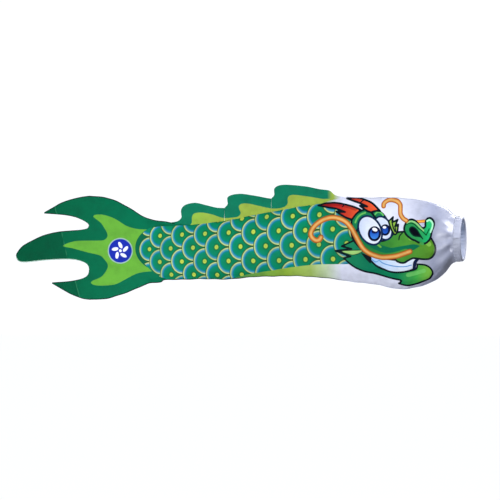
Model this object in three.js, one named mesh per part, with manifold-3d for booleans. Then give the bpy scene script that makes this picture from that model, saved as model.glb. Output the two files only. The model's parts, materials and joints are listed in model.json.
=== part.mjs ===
// Carp streamer: a printed cloth fish that fills with wind through a hooped mouth.
// Two side panels are sewn together along the back and the belly, with a fin strip in the
// back seam and a tail cut into three prongs. The panels are cut here where the cloth bends.
// +X points out of the mouth, +Z up, and the origin is the centre of the mouth hoop.
import * as THREE from 'three';
import { mergeVertices } from 'three/addons/utils/BufferGeometryUtils.js';
import Module from 'manifold-3d';

const wasm = await Module();
wasm.setup();

// ---- Driving dimensions, mm ----
// Lengths along the fish, mouth to tail, and the depth of an outer prong where it begins.
const headLength = 314;
const foreLength = 199;
const midLength = 127;
const hindLength = 172;
const tailLength = 196;
const prongLength = 200;
const outerProngRoot = 78;

// Depths of the cloth tube above and below the hoop's centre, where it bends.
const neckBack = 110;
const neckBelly = 110;
const foreBack = 73;
const foreBelly = 98;
const midBack = 49;
const midBelly = 106;
const rootBack = 47;
const rootBelly = 110;
const forkBack = 115;
const forkBelly = 161;
const cheekBack = 109;
const cheekBelly = 131;

// Half thickness of the blown-up tube.
const cheekHalf = 50;
const neckHalf = 40;
const foreHalf = 31;
const midHalf = 26;
const rootHalf = 17;
const forkHalf = 2.6;

// Mouth.
const hoopRadius = 55;
const rodRadius = 2;
const ferruleWall = 0.6;
const ferruleLength = 26;
const hemLength = 16;
const eyeletBore = 2;
const eyeletWall = 0.6;
const eyeletFlange = 4.8;
const flangeThick = 0.8;

// Cloth and gaps.
const clothThick = 1;
const finThick = 1.4;
const fitGap = 0.3;
const bendGap = 1;
const finGap = 1.2;
const bodyBend = 20;
const prongBend = 40;
const finLean = 30;

// Height of each fin lobe above the back seam, and the length of the last one.
const frontFinHeight = 64;
const middleFinHeight = 61;
const rearFinHeight = 57;
const rearFinLength = 132;

// ---- Places worked out from them ----
const neckX = -headLength;
const foreX = neckX - foreLength;
const midX = foreX - midLength;
const rootX = midX - hindLength;
const forkX = rootX - tailLength;
const tipX = forkX - prongLength;

const casingInner = rodRadius + fitGap + ferruleWall + fitGap;
const casingOuter = casingInner + clothThick;
const hemOuter = hoopRadius + casingOuter;
const hemInner = hoopRadius - casingOuter;
const headFrontX = -hemLength - fitGap;
const eyeletX = -(casingOuter + hemLength) / 2;

const group = new THREE.Group();

// ---- Colours of the sub-parts ----
const satinWhite = { color: 0xd8dae8, roughness: 0.45, metalness: 0 };
const printGreen = { color: 0x1c7a52, roughness: 0.7, metalness: 0 };
const tailGreen = { color: 0x045c3c, roughness: 0.7, metalness: 0 };
const finGreen = { color: 0x128060, roughness: 0.7, metalness: 0 };
const springWire = { color: 0xb8bcc2, roughness: 0.35, metalness: 0.9 };
const brightTin = { color: 0xd2d4d6, roughness: 0.25, metalness: 1 };

function addPart(name, geometry, look) {
  const mesh = new THREE.Mesh(geometry, new THREE.MeshStandardMaterial(look));
  mesh.name = name;
  group.add(mesh);
  return mesh;
}

// ---- Manifold solids, used for cutting the eyelet holes only ----
function toSolid(geometry) {
  const bare = geometry.clone();
  bare.deleteAttribute('normal');
  bare.deleteAttribute('uv');
  const merged = mergeVertices(bare, 1e-4);
  return new wasm.Manifold(new wasm.Mesh({
    numProp: 3,
    vertProperties: new Float32Array(merged.attributes.position.array),
    triVerts: new Uint32Array(merged.index.array),
  }));
}

function fromSolid(solid) {
  const mesh = solid.getMesh();
  const geometry = new THREE.BufferGeometry();
  geometry.setAttribute('position', new THREE.BufferAttribute(mesh.vertProperties, 3));
  geometry.setIndex(new THREE.BufferAttribute(mesh.triVerts, 1));
  geometry.computeVertexNormals();
  return geometry;
}

// A lathe turned about X: its profile points are (radius, x) pairs.
function latheAboutX(profile, steps) {
  const points = profile.map(([radius, x]) => new THREE.Vector2(radius, x));
  return new THREE.LatheGeometry(points, steps).rotateZ(-Math.PI / 2);
}

// ---- Mouth hoop: a sprung wire ring whose ends meet in a crimped sleeve ----
addPart('mouth_hoop', new THREE.TorusGeometry(hoopRadius, rodRadius, 8, 48).rotateY(Math.PI / 2),
  springWire);

class HoopArc extends THREE.Curve {
  constructor(middleAngle, length) {
    super();
    this.middleAngle = middleAngle;
    this.sweep = length / hoopRadius;
  }

  getPoint(t) {
    const angle = this.middleAngle + (t - 0.5) * this.sweep;
    return new THREE.Vector3(0, hoopRadius * Math.cos(angle), hoopRadius * Math.sin(angle));
  }
}

const sleeveSection = new THREE.Shape().absarc(
  0, 0, rodRadius + fitGap + ferruleWall, 0, 2 * Math.PI);
sleeveSection.holes.push(new THREE.Path().absarc(0, 0, rodRadius + fitGap, 0, 2 * Math.PI, true));
addPart('hoop_ferrule', new THREE.ExtrudeGeometry(sleeveSection, {
  steps: 8, curveSegments: 10, bevelEnabled: false,
  extrudePath: new HoopArc(-Math.PI / 2, ferruleLength),
}), brightTin);

// ---- Mouth hem: the cloth folded forward over the hoop, open at the back of the fold ----
function foldArc(radius, from, to, steps) {
  const points = [];
  for (let i = 0; i <= steps; i += 1) {
    const angle = from + (to - from) * i / steps;
    points.push([hoopRadius + radius * Math.cos(angle), radius * Math.sin(angle)]);
  }
  return points;
}

const hemProfile = [
  [hoopRadius + casingInner, -hemLength],
  [hemOuter, -hemLength],
  ...foldArc(casingOuter, 0, Math.PI, 6),
  [hemInner, -hemLength],
  [hoopRadius - casingInner, -hemLength],
  ...foldArc(casingInner, Math.PI, 0, 6),
];
hemProfile.push(hemProfile[0]);

// ---- Eyelets for the flying line, pressed through both layers of the hem ----
const flangeZ = hemOuter + fitGap;
const innerFlangeZ = Math.sqrt(hemInner ** 2 - eyeletFlange ** 2) - fitGap;

function eyeletAt(side) {
  const barrel = eyeletBore + eyeletWall;
  const profile = [
    [eyeletBore, innerFlangeZ - flangeThick],
    [eyeletFlange, innerFlangeZ - flangeThick],
    [eyeletFlange, innerFlangeZ],
    [barrel, innerFlangeZ],
    [barrel, flangeZ],
    [eyeletFlange, flangeZ],
    [eyeletFlange, flangeZ + flangeThick],
    [eyeletBore, flangeZ + flangeThick],
    [eyeletBore, innerFlangeZ - flangeThick],
  ].map(([radius, along]) => new THREE.Vector2(radius, along));
  return new THREE.LatheGeometry(profile, 24).rotateX(side * Math.PI / 2).translate(eyeletX, 0, 0);
}

let hem = toSolid(latheAboutX(hemProfile, 48));
for (const side of [1, -1]) {
  const hole = new THREE.CylinderGeometry(
    eyeletBore + eyeletWall + fitGap, eyeletBore + eyeletWall + fitGap, 2 * casingOuter + 8, 16);
  hole.rotateX(Math.PI / 2).translate(eyeletX, 0, side * hoopRadius);
  hem = hem.subtract(toSolid(hole));
}
addPart('mouth_hem', fromSolid(hem), satinWhite);
addPart('eyelet_back', eyeletAt(1), brightTin);
addPart('eyelet_belly', eyeletAt(-1), brightTin);

// ---- Shape of the cloth tube ----
// Each station is [x, back, belly, half thickness, pointing]: the section is an ellipse at
// pointing 1 and pinches towards its two seams as pointing grows.
const alongHead = (share) => headFrontX + (neckX - headFrontX) * share;
const alongTail = (share) => rootX + (forkX - rootX) * share;
const between = (from, to, share) => from + (to - from) * share;

const stations = [
  [headFrontX, hemOuter, hemOuter, hemOuter, 1],
  [alongHead(0.04), hemOuter + 10, hemOuter + 6, hemOuter + 1, 1],
  [alongHead(0.1), between(hemOuter, cheekBack, 0.5), between(hemOuter, cheekBelly, 0.4),
    between(hemOuter, cheekHalf, 0.1), 1.02],
  [alongHead(0.2), between(hemOuter, cheekBack, 0.68), between(hemOuter, cheekBelly, 0.72),
    between(hemOuter, cheekHalf, 0.4), 1.08],
  [alongHead(0.32), between(hemOuter, cheekBack, 0.86), between(hemOuter, cheekBelly, 0.91),
    between(hemOuter, cheekHalf, 0.75), 1.16],
  [alongHead(0.52), cheekBack, cheekBelly, cheekHalf, 1.3],
  [alongHead(0.75), cheekBack, between(cheekBelly, neckBelly, 0.6),
    between(cheekHalf, neckHalf, 0.5), 1.4],
  [neckX, neckBack, neckBelly, neckHalf, 1.45],
  [between(neckX, foreX, 0.35), between(neckBack, foreBack, 0.4),
    between(neckBelly, foreBelly, 0.8), between(neckHalf, foreHalf, 0.35), 1.45],
  [foreX, foreBack, foreBelly, foreHalf, 1.45],
  [midX, midBack, midBelly, midHalf, 1.45],
  [between(midX, rootX, 0.55), rootBack - 8, rootBelly - 4, between(midHalf, rootHalf, 0.5), 1.4],
  [rootX, rootBack, rootBelly, rootHalf, 1.4],
  [alongTail(0.2), rootBack + 9, rootBelly + 9, between(rootHalf, forkHalf, 0.35), 1.3],
  [alongTail(0.5), between(rootBack, forkBack, 0.62), between(rootBelly, forkBelly, 0.66),
    between(rootHalf, forkHalf, 0.72), 1.2],
  [alongTail(0.75), between(rootBack, forkBack, 0.92), between(rootBelly, forkBelly, 0.95),
    between(rootHalf, forkHalf, 0.92), 1.1],
  [forkX, forkBack, forkBelly, forkHalf, 1],
];

// Smooth interpolation between the stations; its slope at each is that of its neighbours' chord.
function sectionAt(x) {
  const last = stations.length - 1;
  let i = 0;
  while (i < last - 1 && x < stations[i + 1][0]) i += 1;
  const [before, start, end, after] = [
    stations[Math.max(i - 1, 0)], stations[i], stations[i + 1], stations[Math.min(i + 2, last)]];
  const span = end[0] - start[0];
  const t = Math.min(Math.max((x - start[0]) / span, 0), 1);
  const value = (k) => {
    const slopeIn = (end[k] - before[k]) / (end[0] - before[0]) * span;
    const slopeOut = (after[k] - start[k]) / (after[0] - start[0]) * span;
    return start[k] * (2 * t ** 3 - 3 * t ** 2 + 1) + slopeIn * (t ** 3 - 2 * t ** 2 + t)
      + end[k] * (3 * t ** 2 - 2 * t ** 3) + slopeOut * (t ** 3 - t ** 2);
  };
  return { back: value(1), belly: value(2), half: value(3), pointing: value(4) };
}

// ---- Side panels: one skin of cloth, half of the tube, between two bends ----
// Each end leans back from the bend by half of its angle, so that neighbours never touch.
function sidePanel(side, rearX, frontX, rearBend, frontBend, stepsAlong, stepsRound) {
  const geometry = new THREE.BoxGeometry(1, 1, 1, stepsAlong, 1, stepsRound);
  const position = geometry.attributes.position;
  const lean = (bend) => Math.tan(THREE.MathUtils.degToRad(bend / 2));
  for (let i = 0; i < position.count; i += 1) {
    const share = position.getX(i) + 0.5;
    const inset = position.getY(i) > 0 ? 0 : clothThick;
    const angle = position.getZ(i) * Math.PI;
    const section = sectionAt(rearX + (frontX - rearX) * share);
    const centre = (section.back - section.belly) / 2;
    const depth = (section.back + section.belly) / 2 - inset;
    const y = fitGap + (section.half - inset) * Math.max(Math.cos(angle), 0) ** section.pointing;
    const rear = rearX + (rearBend ? bendGap + y * lean(rearBend) : 0);
    const front = frontX - (frontBend ? bendGap + y * lean(frontBend) : 0);
    position.setXYZ(i, rear + (front - rear) * share, side * y, centre + depth * Math.sin(angle));
  }
  if (side < 0) turnInsideOut(geometry);
  geometry.computeVertexNormals();
  return geometry;
}

function turnInsideOut(geometry) {
  const corners = geometry.index;
  for (let i = 0; i < corners.count; i += 3) {
    const second = corners.getX(i + 1);
    corners.setX(i + 1, corners.getX(i + 2));
    corners.setX(i + 2, second);
  }
}

const segments = [
  ['head', neckX, headFrontX, bodyBend, 0, 16, 12, satinWhite],
  ['fore', foreX, neckX, bodyBend, bodyBend, 7, 10, printGreen],
  ['mid', midX, foreX, bodyBend, bodyBend, 5, 10, printGreen],
  ['hind', rootX, midX, bodyBend, bodyBend, 6, 10, printGreen],
  ['tail', forkX, rootX, prongBend, bodyBend, 9, 8, tailGreen],
];
for (const [name, rearX, frontX, rearBend, frontBend, along, round, look] of segments) {
  for (const [label, side] of [['left', 1], ['right', -1]]) {
    addPart(`${name}_${label}`,
      sidePanel(side, rearX, frontX, rearBend, frontBend, along, round), look);
  }
}

// ---- Flat cut cloth: an outline in the upright plane of the fish, given a thickness ----
function flatCloth(shape, lowY, highY, curveSteps) {
  const geometry = new THREE.ExtrudeGeometry(shape, {
    depth: highY - lowY, bevelEnabled: false, curveSegments: curveSteps,
  });
  return geometry.rotateX(Math.PI / 2).translate(0, highY, 0);
}

const vector = ([x, z]) => new THREE.Vector2(x, z);

// ---- Fin strip: three lobes that stand in the back seam, leaning over about their roots ----
// Each lobe is given by points (share of its length from the rear, share of its height). Its two
// ends draw in with height, so that leaning neighbours stay clear of each other as the back bends.
function finLobe(rearX, frontX, height, outline) {
  const base = (x) => sectionAt(x).back + finGap;
  const drawIn = Math.sin(THREE.MathUtils.degToRad(finLean))
    * Math.tan(THREE.MathUtils.degToRad(bodyBend / 2));
  const shape = new THREE.Shape();
  const crest = outline.map(([share, rise]) => {
    const inset = bendGap + height * rise * drawIn;
    const x = rearX + inset + (frontX - rearX - 2 * inset) * share;
    return new THREE.Vector2(x, base(x) + height * rise);
  });
  shape.moveTo(crest[0].x, crest[0].y);
  shape.splineThru(crest.slice(1));
  const rootSteps = 8;
  for (let i = 0; i <= rootSteps; i += 1) {
    const x = frontX - bendGap - (frontX - rearX - 2 * bendGap) * i / rootSteps;
    shape.lineTo(x, base(x));
  }
  return flatCloth(shape, -finThick / 2, finThick / 2, 2);
}

addPart('fin_front', finLobe(foreX, neckX, frontFinHeight, [
  [0, 0.52], [0.04, 0.76], [0.04, 0.94], [0.12, 1], [0.3, 0.9], [0.5, 0.72], [0.68, 0.48],
  [0.8, 0.36], [0.88, 0.16], [0.99, 0.06]]), finGreen);
addPart('fin_middle', finLobe(midX, foreX, middleFinHeight, [
  [0, 0.56], [0.06, 0.76], [0.05, 0.96], [0.16, 1.1], [0.36, 1.06], [0.66, 0.82], [0.86, 0.64],
  [1, 0.56]]), finGreen);
addPart('fin_rear', finLobe(midX - rearFinLength, midX, rearFinHeight, [
  [0, 0.1], [0.07, 0.22], [0.12, 0.4], [0.11, 0.72], [0.17, 0.86], [0.26, 0.96], [0.42, 0.94],
  [0.62, 0.8], [0.84, 0.64], [1, 0.58]]), finGreen);

// ---- Tail prongs: two layers each, left and right, free of each other beyond the fork ----
// Outline points are (share of the prong length behind the fork, height). The upright edge at
// the fork joins the first and the last.
const upperSplit = forkBack - outerProngRoot;
const lowerSplit = outerProngRoot - forkBelly;
const prongs = {
  upper: [[0.01, forkBack], [0.13, forkBack], [0.3, forkBack - 12], [0.46, forkBack - 22],
    [0.56, forkBack - 33], [0.61, forkBack - 43], [0.53, forkBack - 48], [0.33, forkBack - 53],
    [0.13, forkBack - 63], [0.07, upperSplit + 2], [0.01, upperSplit + 1]],
  middle: [[0.01, upperSplit - 1], [0.07, upperSplit - 3], [0.14, upperSplit - 10],
    [0.38, upperSplit - 13], [0.62, upperSplit - 21], [0.82, upperSplit - 38],
    [0.95, upperSplit - 54], [1, upperSplit - 76], [0.95, lowerSplit + 22],
    [0.6, lowerSplit + 26], [0.18, lowerSplit + 25], [0.06, lowerSplit + 16],
    [0.01, lowerSplit + 1]],
  lower: [[0.01, lowerSplit - 1], [0.08, lowerSplit - 15], [0.22, lowerSplit - 24],
    [0.4, lowerSplit - 28], [0.5, lowerSplit - 30], [0.42, lowerSplit - 47],
    [0.28, lowerSplit - 64], [0.13, 2 - forkBelly], [0.01, -forkBelly]],
};
for (const [name, outline] of Object.entries(prongs)) {
  const points = outline.map(([share, z]) => vector([forkX + (tipX - forkX) * share, z]));
  const shape = new THREE.Shape();
  shape.moveTo(points[0].x, points[0].y);
  shape.splineThru(points.slice(1));
  addPart(`${name}_prong_left`, flatCloth(shape, fitGap, fitGap + clothThick, 2), tailGreen);
  addPart(`${name}_prong_right`, flatCloth(shape, -fitGap - clothThick, -fitGap, 2), tailGreen);
}

export default group;
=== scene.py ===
import json
import math

import bmesh
import bpy
import numpy as np
from mathutils import Matrix, Vector


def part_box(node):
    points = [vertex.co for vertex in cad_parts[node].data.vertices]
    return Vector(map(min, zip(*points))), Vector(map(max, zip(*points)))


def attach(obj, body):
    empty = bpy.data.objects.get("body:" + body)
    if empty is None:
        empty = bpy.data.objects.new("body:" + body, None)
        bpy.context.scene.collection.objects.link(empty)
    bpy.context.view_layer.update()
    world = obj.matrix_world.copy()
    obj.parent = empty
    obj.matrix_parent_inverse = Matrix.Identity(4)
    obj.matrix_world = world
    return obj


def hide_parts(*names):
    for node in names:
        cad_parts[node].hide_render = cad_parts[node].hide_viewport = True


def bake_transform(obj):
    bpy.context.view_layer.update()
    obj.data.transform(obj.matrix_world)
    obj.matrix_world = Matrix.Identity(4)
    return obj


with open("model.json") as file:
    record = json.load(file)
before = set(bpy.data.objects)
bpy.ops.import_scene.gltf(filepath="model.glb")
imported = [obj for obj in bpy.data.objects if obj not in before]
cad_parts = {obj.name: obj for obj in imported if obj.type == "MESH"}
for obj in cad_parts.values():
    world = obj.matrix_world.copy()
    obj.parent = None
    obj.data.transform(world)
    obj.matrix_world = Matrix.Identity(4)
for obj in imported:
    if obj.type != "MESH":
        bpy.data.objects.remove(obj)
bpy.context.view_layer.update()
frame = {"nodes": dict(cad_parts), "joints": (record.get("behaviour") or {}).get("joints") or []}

scene = bpy.context.scene

# ---- Camera ----
# A long lens, level with the fish and a little ahead of it, so that the mouth shows as a slit.
view_yaw = math.radians(10)
view_centre = Vector((-0.571, 0, -0.029))
view_width = 1.333
lens_mm = 500
sensor_mm = 36

camera = bpy.data.objects.new("camera", bpy.data.cameras.new("camera"))
camera.data.lens = lens_mm
camera.data.sensor_width = sensor_mm
camera.data.clip_end = 100
view_distance = view_width * lens_mm / sensor_mm
camera.location = view_centre + view_distance * Vector((math.sin(view_yaw), -math.cos(view_yaw), 0))
camera.rotation_euler = (math.pi / 2, 0, view_yaw)
scene.collection.objects.link(camera)
scene.camera = camera

# ---- Studio ----
# A pale floor well below the flying fish, in bright air, under two large soft lights.


def new_object(name, bm, *materials):
    """A finished mesh, in place at the origin."""
    mesh = bpy.data.meshes.new(name)
    bm.to_mesh(mesh)
    bm.free()
    for material in materials:
        mesh.materials.append(material)
    piece = bpy.data.objects.new(name, mesh)
    scene.collection.objects.link(piece)
    return piece


def linear(colour):
    """Colours are written as red, green and blue, 0 to 255 on a screen. The shader takes linear light."""
    return tuple(((c / 255 + 0.055) / 1.055) ** 2.4 if c > 10 else c / 3295 for c in colour) + (1.0,)


class Tint:
    """A value or colour inside one material. Python's operators add its Math nodes."""

    def __init__(self, tree, socket=None):
        self.tree = tree
        self.socket = socket

    def node(self, kind, settings=(), sockets=(), out=0):
        node = self.tree.nodes.new("ShaderNode" + kind)
        for name, value in dict(settings).items():
            if name == "stops":
                ramp = node.color_ramp
                while len(ramp.elements) < len(value):
                    ramp.elements.new(1)
                for element, (position, colour) in zip(ramp.elements, value):
                    element.position = position
                    element.color = linear(colour)
            else:
                setattr(node, name, value)
        for name, value in dict(sockets).items():
            if isinstance(value, Tint):
                self.tree.links.new(value.socket, node.inputs[name])
            else:
                node.inputs[name].default_value = value
        return Tint(self.tree, node.outputs[out])

    def maths(self, operation, *values):
        return self.node("Math", {"operation": operation}, dict(enumerate(values)))

    def operator(operation, swapped=False):
        """What one of Python's operators does: it adds a Math node, its values swapped if need be."""
        def add_node(self, other):
            return self.maths(operation, *((other, self) if swapped else (self, other)))
        return add_node

    __add__, __radd__ = operator("ADD"), operator("ADD", True)
    __sub__, __rsub__ = operator("SUBTRACT"), operator("SUBTRACT", True)
    __mul__, __rmul__ = operator("MULTIPLY"), operator("MULTIPLY", True)
    __truediv__, __rtruediv__ = operator("DIVIDE"), operator("DIVIDE", True)
    __lt__, __gt__ = operator("LESS_THAN"), operator("GREATER_THAN")

    def held(self):
        """Held between 0 and 1."""
        return self.maths("MINIMUM", self.maths("MAXIMUM", self, 0.0), 1.0)

    def mix(self, first, second):
        """This value as the share of the second colour."""
        first, second = [c if isinstance(c, Tint) else linear(c) for c in (first, second)]
        return self.node("Mix", {"data_type": "RGBA"}, {0: self, 6: first, 7: second}, out=2)

    def ramp(self, *stops):
        return self.node("ValToRGB", {"stops": stops}, {0: self})


def new_material(name):
    """A material, its Principled shader, and a Tint to build its colours from."""
    material = bpy.data.materials.new(name)
    material.use_nodes = True
    return material, material.node_tree.nodes["Principled BSDF"], Tint(material.node_tree)


def finish(shader, colour, bump=None, bump_strength=0.5, bump_distance=0.0003, **constants):
    """Links what varies over a surface, and sets what doesn't on the shader itself."""
    for name, value in constants.items():
        shader.inputs[name.replace("_", " ")].default_value = value
    if isinstance(colour, Tint):
        colour.tree.links.new(colour.socket, shader.inputs["Base Color"])
    else:
        shader.inputs["Base Color"].default_value = linear(colour)
    if bump:
        normal = bump.node("Bump", {}, {"Strength": bump_strength, "Distance": bump_distance,
                                        "Height": bump})
        bump.tree.links.new(normal.socket, shader.inputs["Normal"])


floor_z = -1.0
stage_paper, shader, tint = new_material("stage_paper")
finish(shader, (250, 250, 250), Roughness=0.9, Emission_Color=(0.97, 0.98, 1, 1),
       Emission_Strength=0.78)
bm = bmesh.new()
bmesh.ops.create_grid(bm, x_segments=1, y_segments=1, size=60, matrix=Matrix.Translation((0, 0, floor_z)))
floor = new_object("floor", bm, stage_paper)
floor.visible_diffuse = False
floor.visible_glossy = False

world = bpy.data.worlds.new("studio_air")
world.use_nodes = True
air = Tint(world.node_tree)
seen_air = 1.1
lighting_air = 0.26
strength = air.node("LightPath") * (seen_air - lighting_air) + lighting_air
world.node_tree.links.new(strength.socket, world.node_tree.nodes["Background"].inputs["Strength"])
world.node_tree.nodes["Background"].inputs["Color"].default_value = (0.94, 0.955, 1.0, 1)
scene.world = world
scene.view_settings.view_transform = "Standard"


def soft_light(name, place, aim, size, watts):
    lamp = bpy.data.lights.new(name, "AREA")
    lamp.size = size
    lamp.energy = watts
    light = bpy.data.objects.new(name, lamp)
    light.location = place
    light.rotation_euler = (Vector(aim) - Vector(place)).to_track_quat("-Z", "Y").to_euler()
    scene.collection.objects.link(light)


soft_light("key_light", (0.85, -1.2, 1.9), (-0.35, 0, 0), 0.8, 33)
soft_light("mouth_light", (0.3, -0.16, 0.34), (-0.04, -0.03, 0.03), 0.22, 1.8)
soft_light("fill_light", (-2.0, -2.2, 0.5), (-0.8, 0, 0), 1.4, 24)
soft_light("bounce_light", (-1.0, -1.5, -1.0), (-0.3, 0, -0.06), 1.1, 46)
soft_light("far_side_light", (-0.1, 2.2, 1.3), (-0.5, 0, 0), 1.2, 58)

# ---- Mouth hoop and ferrule ----
# A sprung wire ring in the mouth hem, whose ends meet in a crimped aluminium sleeve. Both stay
# as the CAD made them: bright drawn wire with fine lines along it, and a dull sleeve.


def metal(name, colour, roughness, grain, stretch):
    material, shader, tint = new_material(name)
    place = tint.node("TexCoord", out=3)
    place = tint.node("Mapping", {}, {"Vector": place, "Scale": stretch})
    scratches = tint.node("TexNoise", {}, {"Vector": place, "Scale": grain, "Detail": 4})
    worn = scratches.mix([0.85 * c for c in colour], colour)
    finish(shader, worn, bump=scratches, bump_strength=0.15, Metallic=1.0, Roughness=roughness)
    return material


wire_metal = metal("drawn_wire", (205, 208, 212), 0.32, 900, (1, 0.2, 0.2))
ferrule_metal = metal("crimped_sleeve", (196, 198, 200), 0.42, 500, (1, 1, 1))
eyelet_metal = metal("eyelet_plate", (222, 223, 225), 0.22, 400, (1, 1, 1))
for node, material in [("mouth_hoop", wire_metal), ("hoop_ferrule", ferrule_metal),
                       ("eyelet_back", eyelet_metal), ("eyelet_belly", eyelet_metal)]:
    cad_piece = frame["nodes"][node]
    cad_piece.data.materials.clear()
    cad_piece.data.materials.append(material)

# ---- Cloth of the fish ----
# Satin-woven polyester, printed before it is cut. Every piece of cloth carries the place on the
# flat print that it was cut from, so the print and the weave follow the cloth as it bends.
MM = 0.001
pivots = {joint["name"]: Vector(joint["pos_m"]) for joint in frame["joints"]}
neck_x = pivots["neck_sway"].x
fore_x = pivots["front_sway"].x
mid_x = pivots["rear_sway"].x
root_x = pivots["tail_sway"].x
fork_x = pivots["upper_prong_flex"].x
hem_rear_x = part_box("mouth_hem")[0].x
mouth_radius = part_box("mouth_hem")[1].z
cloth_thick = 0.0004

# x, back, belly and half thickness in mm, then how hard the section pinches towards its seams.
stations = np.array([
    (hem_rear_x / MM, mouth_radius / MM, mouth_radius / MM, mouth_radius / MM, 1.0),
    (-28, 69, 65, 60, 1.0),
    (-46, 84, 88, 58, 1.02),
    (-76, 93, 111, 55.5, 1.08),
    (-112, 102, 124.5, 52.3, 1.16),
    (-171, 109, 131, 50, 1.3),
    (-240, 109, 118, 45, 1.4),
    (neck_x / MM, 110, 110, 40, 1.45),
    (-384, 95.5, 100.5, 37, 1.45),
    (fore_x / MM, 73, 98, 31, 1.45),
    (mid_x / MM, 49, 106, 26, 1.45),
    (-735, 39, 106, 21.5, 1.4),
    (root_x / MM, 47, 110, 17, 1.4),
    (-851, 56, 119, 12, 1.3),
    (-910, 89, 144, 6.6, 1.2),
    (-959, 110, 158, 3.8, 1.1),
    (fork_x / MM, 115, 161, 2.6, 1.0),
]) * (MM, MM, MM, MM, 1)


def section_at(x):
    """Back, belly, half thickness and pinch of the cloth tube at each x, smooth through the stations."""
    at = -stations[:, 0]
    x = np.clip(-np.asarray(x, float), at[0], at[-1])
    i = np.clip(np.searchsorted(at, x, side="right") - 1, 0, len(at) - 2)
    slopes = np.empty((len(at), 4))
    slopes[1:-1] = (stations[2:, 1:] - stations[:-2, 1:]) / (at[2:] - at[:-2])[:, None]
    slopes[0] = (stations[1, 1:] - stations[0, 1:]) / (at[1] - at[0])
    slopes[-1] = (stations[-1, 1:] - stations[-2, 1:]) / (at[-1] - at[-2])
    span = at[i + 1] - at[i]
    t = ((x - at[i]) / span)[..., None]
    span = span[..., None]
    return np.moveaxis(
        stations[i, 1:] * (2 * t**3 - 3 * t**2 + 1) + slopes[i] * span * (t**3 - 2 * t**2 + t)
        + stations[i + 1, 1:] * (3 * t**2 - 2 * t**3) + slopes[i + 1] * span * (t**3 - t**2), -1, 0)


def rise(value, low, high):
    """0 up to low, 1 from high, and a smooth climb between."""
    t = np.clip((value - low) / (high - low), 0, 1)
    return t * t * (3 - 2 * t)


# Creases pressed into the cloth: from (x, z) to (x, z), width and height, in mm.
head_creases = [
    ((-12, 50), (-86, 96), 7, 2.6), ((-14, 20), (-70, 62), 9, 2.4), ((-14, -38), (-82, -112), 8, 2.6),
    ((-40, -66), (-96, -118), 6, -2.2), ((-70, 92), (-150, 76), 12, 1.6),
    ((-80, -100), (-190, -118), 9, 1.6), ((-120, 100), (-210, 94), 9, -1.3), ((-24, 56), (-64, 84), 5, -1.8),
]
body_creases = [
    ((-330, 96), (-420, 60), 14, 1.4), ((-500, 70), (-560, 20), 14, 1.2), ((-620, 40), (-690, 0), 12, 1.0),
    ((-420, -90), (-520, -60), 14, 1.2), ((-700, 30), (-726, 10), 8, 1.2),
    ((-640, -96), (-720, -70), 12, 1.0), ((-740, 34), (-752, 6), 6, 1.2),
    ((-816, 40), (-822, -100), 5, 0.9), ((-300, -100), (-380, -70), 14, 1.2),
    ((-580, 50), (-610, 10), 10, 1.1), ((-340, 60), (-352, -60), 12, 0.8),
]

# Broad dents and swellings of the slack cloth behind the mouth: x, z, radius and height in mm.
head_dents = [(-50, 30, 24, 9), (-20, -27, 9, -5), (-84, -104, 14, 4), (-130, 84, 26, -4), (-88, 66, 20, 3)]


def crease_lift(x, z, creases):
    """How far the cloth stands out, in metres, near each crease: a soft ridge that fades at its ends."""
    lift = np.zeros_like(x)
    for (x0, z0), (x1, z1), width, height in creases:
        run = np.array((x1 - x0, z1 - z0)) * MM
        along = ((x - x0 * MM) * run[0] + (z - z0 * MM) * run[1]) / run.dot(run)
        near = np.clip(along, 0, 1)
        off = np.hypot(x - x0 * MM - near * run[0], z - z0 * MM - near * run[1])
        fade = np.sin(np.pi * np.clip(near * 0.9 + 0.05, 0, 1)) ** 0.5
        lift += 1.7 * height * MM * fade * np.exp(-(off / (width * MM)) ** 1.4)
    for x0, z0, radius, height in head_dents:
        off = np.hypot(x - x0 * MM, z - z0 * MM) / (radius * MM)
        lift += height * MM * np.exp(-off**2)
    return lift


def cloth_folds(x, z, turn, side):
    """All that moves the cloth off its blown-up shape. It fades to nothing at the seams and at the hem."""
    free = np.maximum(np.cos(turn), 0) ** 0.6 * rise(-x, -hem_rear_x, -hem_rear_x + 0.015)
    free *= 1 - rise(-x, 0.95, -fork_x)
    pleats = 2.8 * MM * np.sin(11 * turn + 1.3 * side + 1.2 * np.sin(3 * turn)) * np.exp((x + 0.02) / 0.045)
    seam = np.minimum(np.cos(turn), 0.5) * np.exp(-((np.cos(turn) - 0.22) / 0.16) ** 2)
    puckers = 2.2 * MM * seam * np.sin(x / 0.0046 + 2.1 * np.sin(x / 0.03) + side)
    swell = 0.9 * MM * (np.sin(x / 0.021 + z / 0.034 + side) + 0.7 * np.sin(x / 0.037 - z / 0.019 + 2))
    flat = 1 - 0.6 * rise(-x, 0.8, 0.95)
    return free * (pleats + swell * flat + crease_lift(x, z, head_creases + body_creases)) + puckers * flat


def seam_wander(x):
    """The sewn edge is never quite even: its thread draws the cloth in here and there."""
    steady = rise(-x, 0.03, 0.08) * (1 - rise(-x, 0.96, 1.0))
    return 0.6 * MM * steady * (np.sin(x / 0.019) + 0.7 * np.sin(x / 0.0071 + 1))


def belly_tuck(x):
    """The belly seam ends in a small tuck, just before the tail spreads."""
    return 4.5 * MM * rise(-x, 0.805, 0.812) * (1 - rise(-x, 0.816, 0.85))


def ripple(x, z):
    """Sideways wave of the whole tail, both layers together."""
    reach = rise(-x, 0.86, 1.2)
    return 7 * MM * reach * np.sin((x + 0.86) / 0.055 + z / 0.12)


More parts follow.
